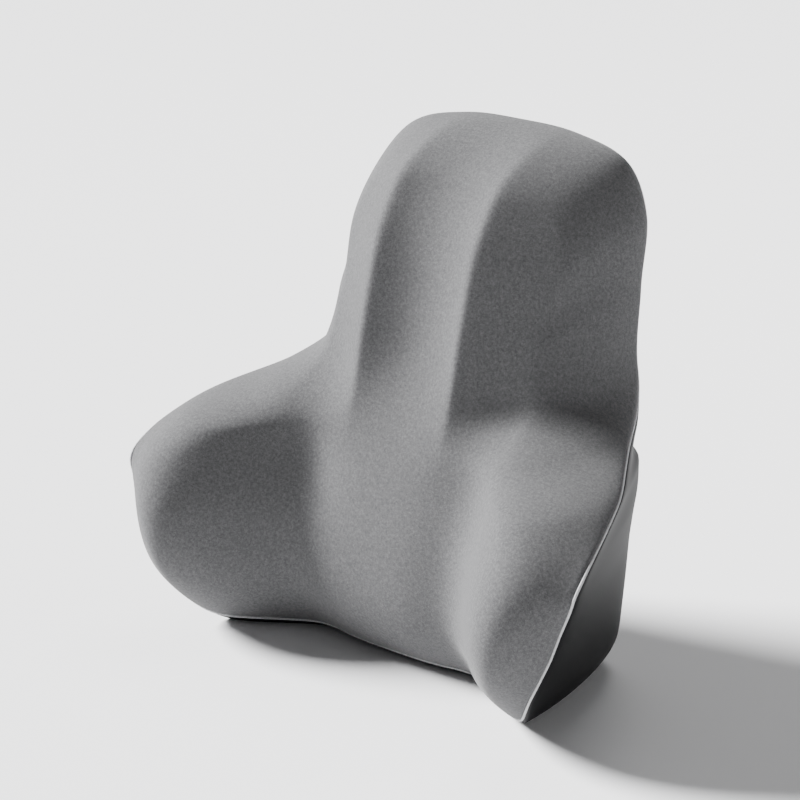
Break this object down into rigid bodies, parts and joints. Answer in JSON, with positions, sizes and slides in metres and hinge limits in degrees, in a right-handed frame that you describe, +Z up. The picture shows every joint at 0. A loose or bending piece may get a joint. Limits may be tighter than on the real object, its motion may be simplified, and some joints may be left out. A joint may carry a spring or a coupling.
{
  "type": "lumbar support cushion",
  "caption": "Moulded lumbar cushion with a grooved upper lobe, two forward-curving wings, a zipped two-tone cover and a rear buckle strap.",
  "frame": {"origin": "middle of the cushion's footprint box, on the surface that it stands on", "axes": "+Z up, -Y out of the cushion's front (the side a back leans on), +X to the cushion's left-hand wing as its user sits"},
  "size_m": [0.449, 0.2652, 0.4108],
  "materials": {
    "front_velour": "short-pile grey velour, matt",
    "rear_knit": "smooth black knit with a faint sheen",
    "piping": "pale grey turned edge",
    "foam": "open-cell memory foam",
    "liner": "thin white knit",
    "zip_tape": "woven black tape",
    "zip_nylon": "black nylon coil",
    "zip_metal": "black lacquered zinc",
    "webbing": "ribbed black webbing",
    "acetal": "moulded black acetal, fine spark texture"
  },
  "bodies": {
    "cushion": {"front_cover": "front_velour", "rear_cover": "rear_knit", "seam_piping": "piping", "foam_core": "foam", "inner_liner": "liner", "zip_tape_upper": "zip_tape", "zip_tape_lower": "zip_tape", "zip_chain_upper": "zip_nylon", "zip_chain_lower": "zip_nylon", "zip_end_stop": "zip_metal", "zip_top_stop_upper": "zip_metal", "zip_top_stop_lower": "zip_metal", "strap_patch_left": "webbing", "strap_patch_right": "webbing", "strap_left": "webbing", "strap_right": "webbing", "buckle_socket": "acetal"},
    "slider": {"zip_slider": "zip_metal"},
    "pull": {"zip_pull": "zip_metal"},
    "plug": {"buckle_plug": "acetal"},
    "arm_upper": {"release_arm_upper": "acetal"},
    "arm_lower": {"release_arm_lower": "acetal"},
    "keeper": {"strap_keeper": "acetal"}
  },
  "joints": [
    {"name": "zip_slide", "type": "slide", "parent": "cushion", "child": "slider", "axis": [-1, 0, 0], "range_m": [0, 0.192], "deforming": ["zip_chain_upper", "zip_chain_lower"]},
    {"name": "zip_pull_swing", "type": "hinge", "parent": "slider", "child": "pull", "pos_m": [0.096, 0.08315, 0.06159], "axis": [0, -0.1551, -0.9879], "range_deg": [0, 150]},
    {"name": "buckle_release", "type": "slide", "parent": "cushion", "child": "plug", "axis": [-1, 0, 0], "range_m": [0, 0.024], "deforming": ["strap_left", "release_arm_upper", "release_arm_lower"]},
    {"name": "arm_upper_press", "type": "hinge", "parent": "plug", "child": "arm_upper", "pos_m": [0.0185, 0.11845, 0.27059], "axis": [0, 0.9879, -0.1551], "range_deg": [0, 12], "stiffness_Nm_per_rad": 0.02},
    {"name": "arm_lower_press", "type": "hinge", "parent": "plug", "child": "arm_lower", "pos_m": [0.0185, 0.1155, 0.25182], "axis": [0, -0.9879, 0.1551], "range_deg": [0, 12], "stiffness_Nm_per_rad": 0.02},
    {"name": "keeper_slide", "type": "slide", "parent": "cushion", "child": "keeper", "axis": [-1, 0, 0], "range_m": [0, 0.012]}
  ]
}
